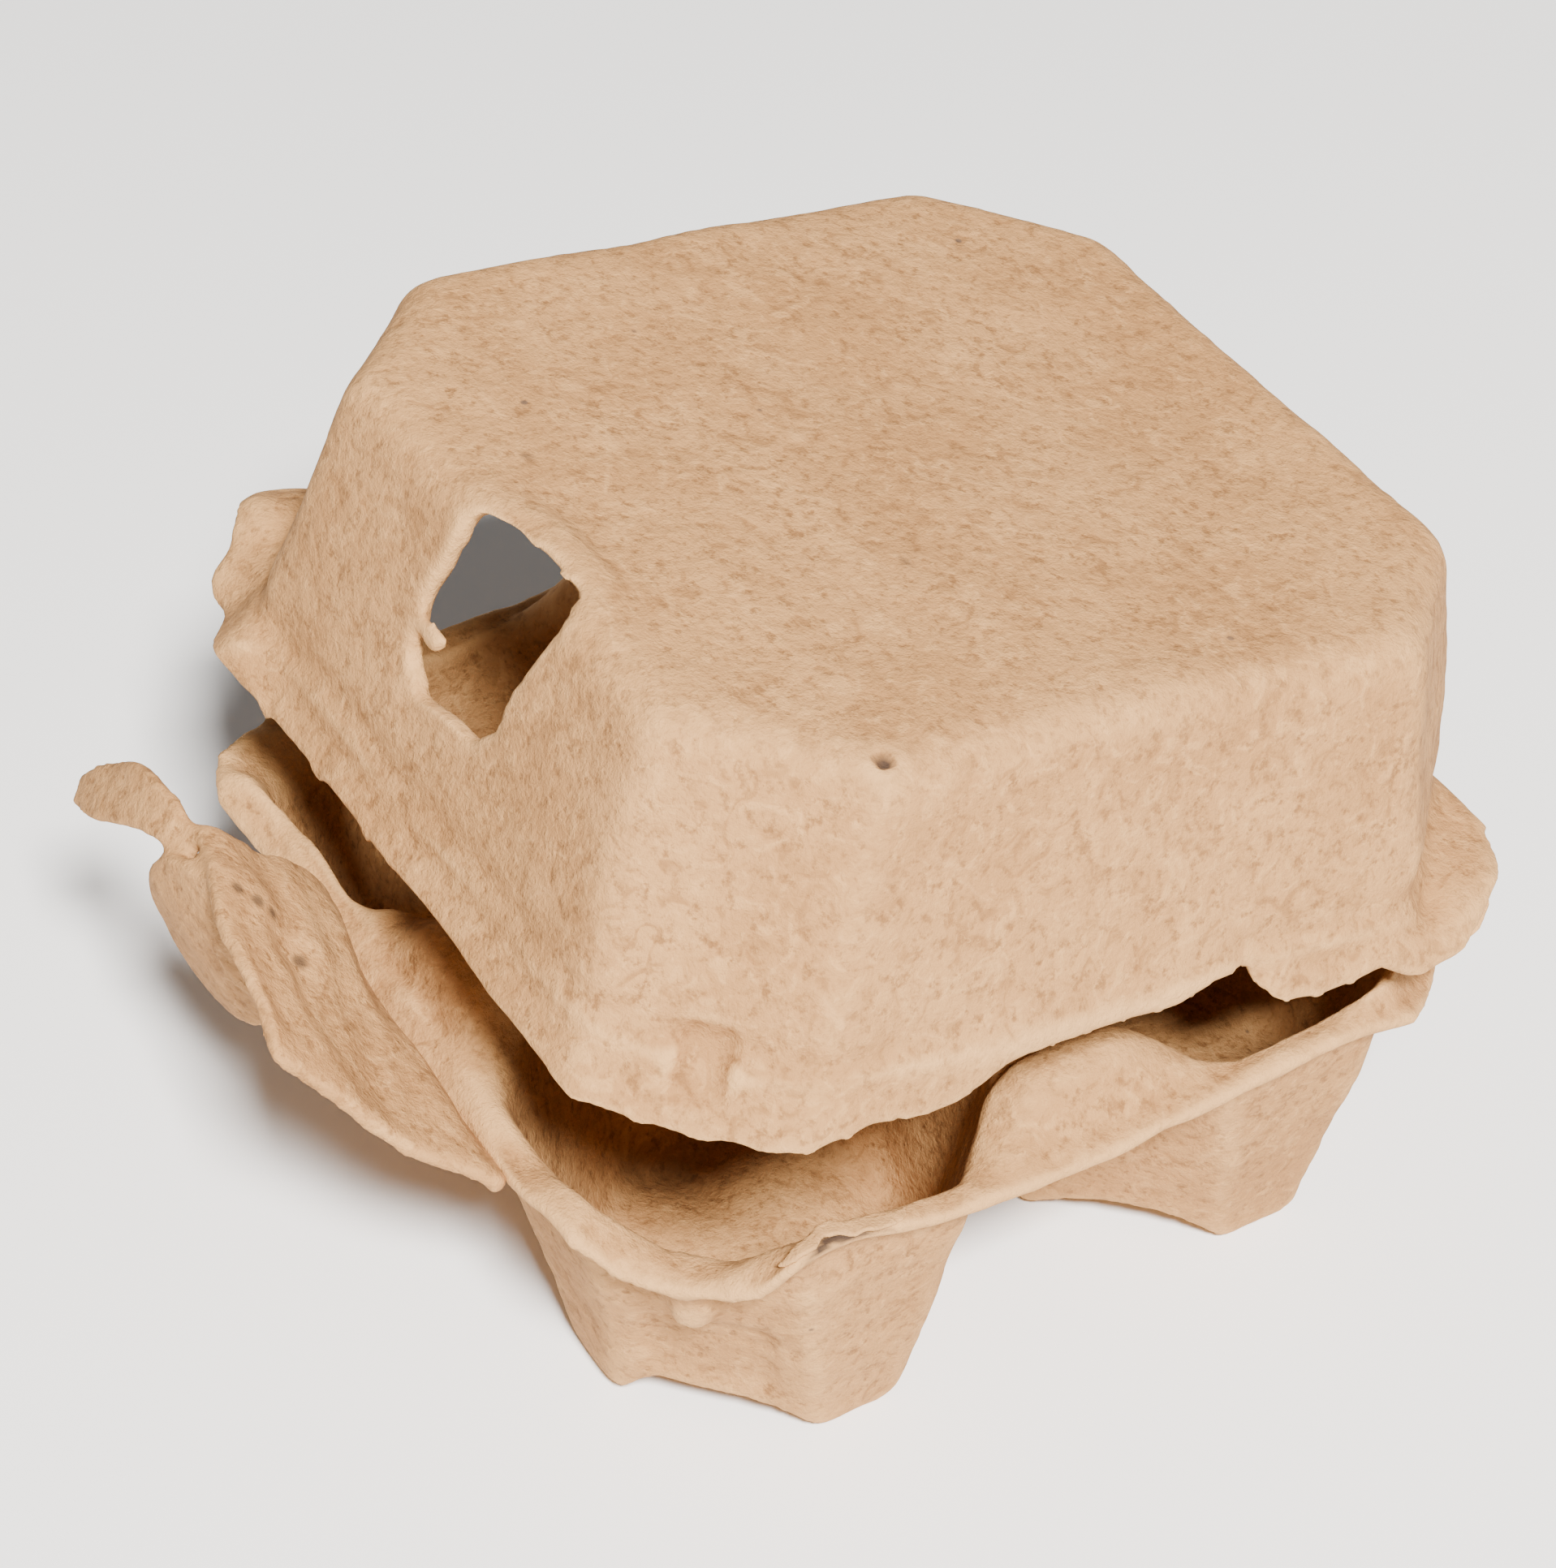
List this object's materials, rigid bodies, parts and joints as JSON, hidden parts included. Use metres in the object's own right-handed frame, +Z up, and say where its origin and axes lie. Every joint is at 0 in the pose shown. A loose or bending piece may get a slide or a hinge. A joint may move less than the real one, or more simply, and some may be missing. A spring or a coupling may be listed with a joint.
{
  "type": "pulp egg box",
  "caption": "Moulded pulp egg box with a cup tray on arched feet, a faceted hinged lid with a latch hole and a front locking flap.",
  "frame": {"origin": "on the plane the feet stand on, under the middle of the cells", "axes": "+Z up, -Y towards the latch side, the hinge runs along X at +Y"},
  "size_m": [0.1084, 0.1253, 0.0897],
  "materials": {
    "pulp": "matte fibrous"
  },
  "bodies": {
    "tray": {"tray": "pulp"},
    "lid": {"lid": "pulp"},
    "locking_flap": {"locking_flap": "pulp"}
  },
  "joints": [
    {"name": "lid_hinge", "type": "hinge", "parent": "tray", "child": "lid", "pos_m": [0, 0.052, 0.0418], "axis": [-1, 0, 0], "range_deg": [-11, 168]},
    {"name": "flap_fold", "type": "hinge", "parent": "tray", "child": "locking_flap", "pos_m": [0, -0.0544, 0.0325], "axis": [-1, 0, 0], "range_deg": [-70, 20]}
  ]
}
